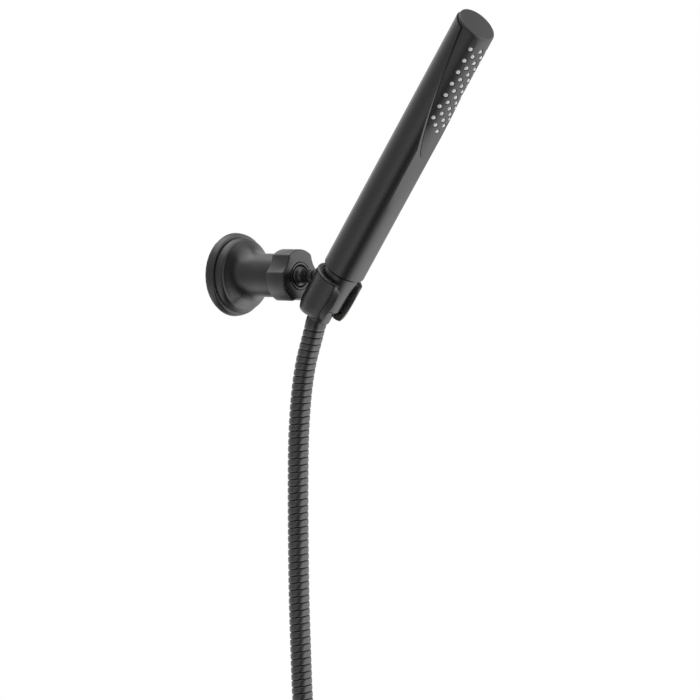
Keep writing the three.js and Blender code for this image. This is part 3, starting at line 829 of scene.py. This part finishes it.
def make_nozzles():
    """A sheet behind the spray face with a tapered, hollow nozzle in each hole."""
    nozzle = [
        (0.34, 12.2), (1.55, 12.2), (1.55, 13.45), (1.47, 13.65), (1.14, 14.0),
        (1.0, 14.2), (0.8, 14.34), (0.55, 14.4), (0.38, 14.34), (0.34, 14.2),
    ]
    domes = [lathe("nozzle", nozzle, at_spot(t, h), 24, 60) for t, h in nozzle_spots()]
    sheet = lathe("sheet", [(11.8, 121), (12.7, 121), (12.7, 198), (11.8, 198)], HANDSET, 128)
    outline = [(-8, 0), (8, 0), (8, 30), (-8, 30)]
    combine(sheet, "INTERSECT", prism("strip", outline, (100, 210), HANDSET, lambda u, v, w: (u, w, v)))
    mat = merge("nozzles", domes + [sheet])
    done(mat, "handset", "silicone", SILICONE, "nozzle_mat")


def make_hose_end():
    """The conical nut, the collar inside it and a round-topped sleeve where the hose leaves them."""
    nut = lathe("cone_nut", soft([
        (10.5, -1.0), (11.4, -1.0), (11.4, -1.95), (12.87, -1.95, 0.3), (11.62, -29.6, 2.5),
        (10.9, -31.3, 0.8), (8.9, -31.3), (8.9, -18), (10.5, -18),
    ], 5), HANDSET, 128)
    done(nut, "handset", "black_coat", COAT, "hose_nut")
    ferrule = lathe("hose_collar", soft([
        (8.0, -42.1), (8.05, -42.35), (8.3, -42.4, 0.1), (8.5, -42, 0.2), (8.5, -17.7),
        (10.1, -17.7), (10.1, -15.5), (4, -15.5), (4, -36), (8.0, -36),
    ]), HANDSET, 96)
    done(ferrule, "hose_end", "black_coat", COAT, "hose_ferrule")
    place = Matrix.Translation(Vector((0, *EXIT))) @ Matrix.Rotation(math.radians(109), 4, "X")
    dome = arc_points(7.45, 0, range(0, 91, 10))
    under = arc_points(6.9, 0, range(90, -1, -10))
    skirt = [(7.5, -3.6), (7.4, -4.2, 0.2), (6.9, -4.2)]
    sleeve = lathe("hose_sleeve", soft(dome + skirt + under), place, 96)
    done(sleeve, "hose_upper", "black_coat", COAT)


make_shell()
make_face()
make_nozzles()
make_hose_end()

# ---- finishes of the CAD's own pieces ----
FINISH = {
    "steel": STEEL,
    "rubber": RUBBER,
    "black_coat": COAT,
    "nylon": NYLON,
    "black_plastic": DARK,
    "silicone": SILICONE,
    "brass": BRASS,
    "black_hose": HOSE,
}
for entry in frame["record"]["subparts"]:
    node = frame["nodes"].get(entry["node"])
    if node is not None:
        for place in node.material_slots:
            place.material = FINISH[entry["material_slot"]]


# ---- surroundings ----
LIGHT_STRENGTH = 3.3


def make_floor():
    bpy.ops.mesh.primitive_circle_add(
        vertices=96, radius=1.25, fill_type="NGON", location=(-0.1, -0.1, -0.537),
    )
    floor = bpy.context.object
    floor.name = "floor"
    m, tree, shader = new_material("pale_floor")
    tone = blend_colour(tree, noise(tree, 3), grey(0.86), grey(0.88))
    tree.links.new(tone, shader.inputs["Base Color"])
    shader.inputs["Roughness"].default_value = 0.8
    floor.data.materials.append(m)
    floor.visible_glossy = False


def make_studio():
    """A soft light fixed in the room: bright areas to the left and right, a dark gap between them, and a
    faint light behind and above. Its directions are those of the camera's rest position, held still. A
    camera sees plain white behind the object."""
    world = bpy.data.worlds.new("studio")
    scene.world = world
    world.use_nodes = True
    tree = world.node_tree
    tree.nodes.clear()
    where = tree.nodes.new("ShaderNodeTexCoord")

    def dot(direction):
        n = tree.nodes.new("ShaderNodeVectorMath")
        n.operation = "DOT_PRODUCT"
        n.inputs[1].default_value = direction
        tree.links.new(where.outputs["Generated"], n.inputs[0])
        return n.outputs["Value"]

    def ramp(source, stops):
        """Levels along the source's values, which run from -1 to 1."""
        low, high = -1, 1
        share = tree.nodes.new("ShaderNodeMapRange")
        share.inputs["From Min"].default_value = low
        share.inputs["From Max"].default_value = high
        tree.links.new(source, share.inputs["Value"])
        r = tree.nodes.new("ShaderNodeValToRGB")
        points = r.color_ramp.elements
        for i, (value, level) in enumerate(stops):
            if i == 0:
                point = points[0]
            elif value == high:
                point = points[len(points) - 1]
            else:
                point = points.new((value - low) / (high - low))
            point.color = (level, level, level, 1)
        tree.links.new(share.outputs["Result"], r.inputs["Fac"])
        return r.outputs["Color"]

    def joined(operation, *colours):
        last = colours[0]
        for colour in colours[1:]:
            n = tree.nodes.new("ShaderNodeVectorMath")
            n.operation = operation
            tree.links.new(last, n.inputs[0])
            tree.links.new(colour, n.inputs[1])
            last = n.outputs["Vector"]
        return last

    across = dot(RIGHT * 0.965 - UP * 0.248 - TOWARDS * 0.090)
    upward, forward = dot(UP), dot(TOWARDS)
    left = joined(
        "MULTIPLY",
        ramp(across, [(-1, 0.39), (-0.75, 0.43), (-0.5, 0.5), (-0.38, 0.45), (-0.14, 0.04), (0, 0), (1, 0)]),
        ramp(upward, [(-1, 1), (-0.6, 0.92), (-0.2, 0.55), (0.2, 0.52), (0.6, 0.74), (1, 0.65)]),
        ramp(forward, [(-1, 0.2), (-0.8, 0.75), (-0.4, 1), (0, 0.85), (1, 0.8)]),
    )
    right = joined(
        "MULTIPLY",
        ramp(across, [
            (-1, 0), (0.15, 0), (0.32, 0.14), (0.48, 0.46),
            (0.62, 0.82), (0.75, 0.95), (0.88, 0.8), (1, 0.66),
        ]),
        ramp(upward, [(-1, 1), (0.3, 1), (0.6, 0.6), (1, 0.5)]),
        ramp(forward, [(-1, 0.02), (-0.9, 0.05), (-0.66, 0.34), (-0.4, 0.8), (-0.1, 1), (1, 1)]),
    )
    back = ramp(forward, [(-1, 0.2), (-0.88, 0.22), (-0.65, 0.09), (-0.3, 0.06), (0, 0.01), (1, 0.01)])
    above = ramp(upward, [(-1, 0), (0.74, 0), (0.88, 0.5), (1, 0.6)])
    lit = tree.nodes.new("ShaderNodeBackground")
    lit.inputs["Strength"].default_value = LIGHT_STRENGTH
    tree.links.new(joined("ADD", left, right, back, above), lit.inputs["Color"])
    seen = tree.nodes.new("ShaderNodeBackground")
    seen.inputs["Color"].default_value = (1, 1, 1, 1)
    path = tree.nodes.new("ShaderNodeLightPath")
    mix = tree.nodes.new("ShaderNodeMixShader")
    tree.links.new(path.outputs["Is Camera Ray"], mix.inputs["Fac"])
    tree.links.new(lit.outputs["Background"], mix.inputs[1])
    tree.links.new(seen.outputs["Background"], mix.inputs[2])
    out = tree.nodes.new("ShaderNodeOutputWorld")
    tree.links.new(mix.outputs["Shader"], out.inputs["Surface"])
    scene.view_settings.view_transform = "Standard"


make_floor()
make_studio()
